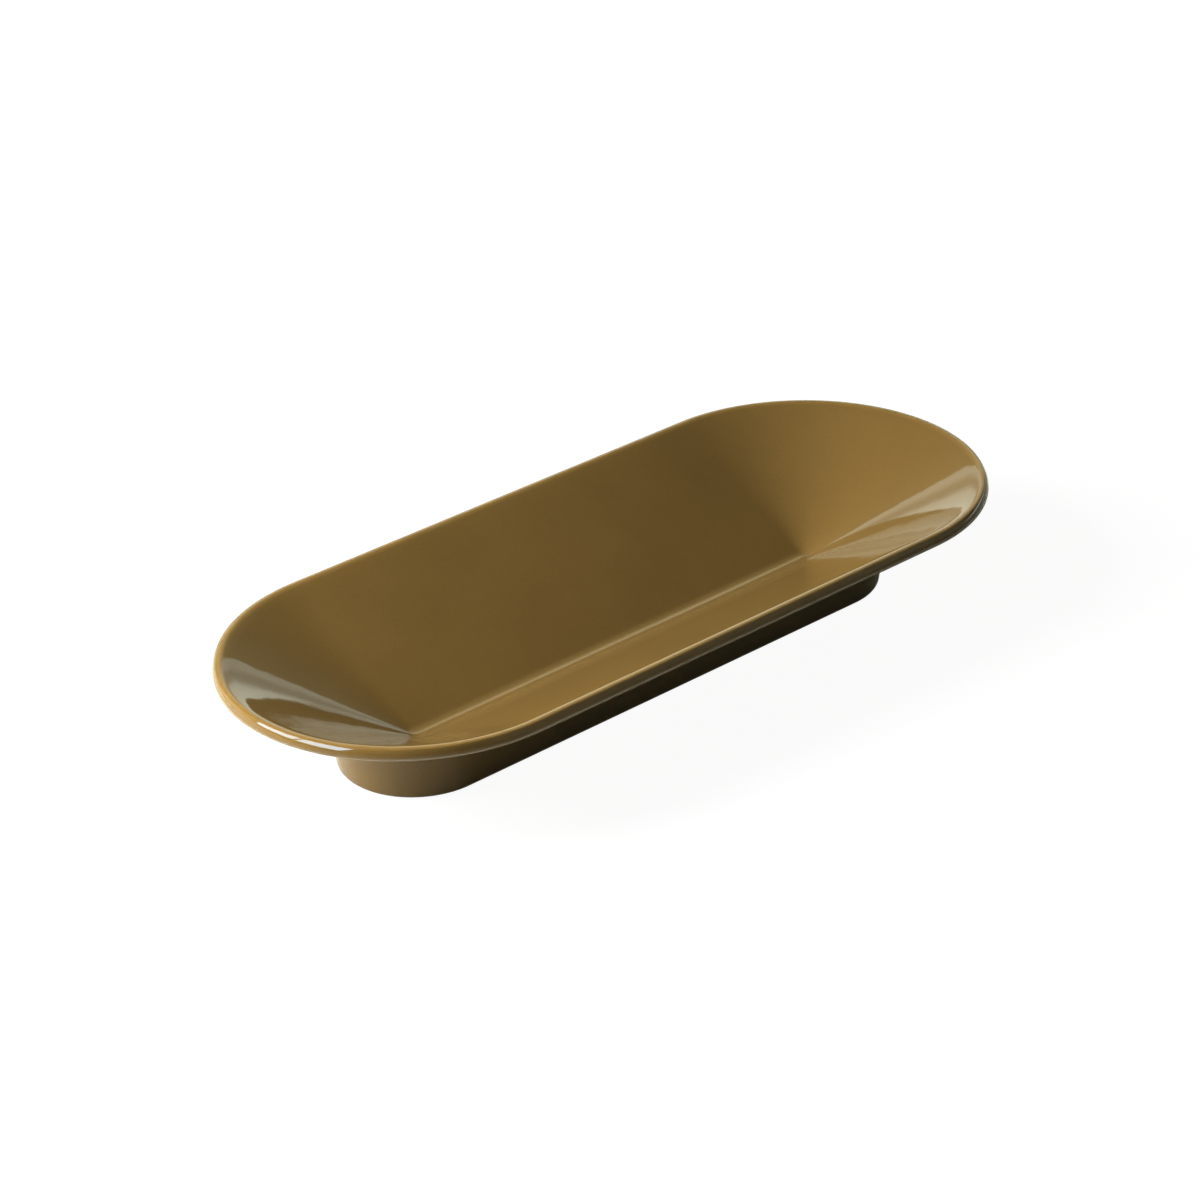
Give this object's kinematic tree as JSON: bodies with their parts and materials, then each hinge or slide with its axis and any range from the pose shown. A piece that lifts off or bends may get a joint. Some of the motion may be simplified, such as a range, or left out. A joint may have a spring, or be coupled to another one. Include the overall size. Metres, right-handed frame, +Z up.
{
  "type": "serving bowl",
  "caption": "Long obround serving bowl: gloss lacquered dish with two flat slopes, half-cone ends and a softly rolled rim, on a hollow foot closed by a felt-padded board.",
  "frame": {"origin": "on the table, under the middle of the bowl", "axes": "+X along the length of the bowl, +Y across it, +Z up out of its mouth"},
  "size_m": [0.52, 0.22, 0.07],
  "materials": {
    "dish_lacquer": "gloss",
    "foot_lacquer": "gloss",
    "board_lacquer": "satin",
    "felt": "matte"
  },
  "bodies": {
    "root": {"dish": "dish_lacquer", "foot_band": "foot_lacquer", "bottom_board": "board_lacquer", "felt_pad_front_left": "felt", "felt_pad_front_right": "felt", "felt_pad_back_left": "felt", "felt_pad_back_right": "felt"}
  },
  "joints": []
}
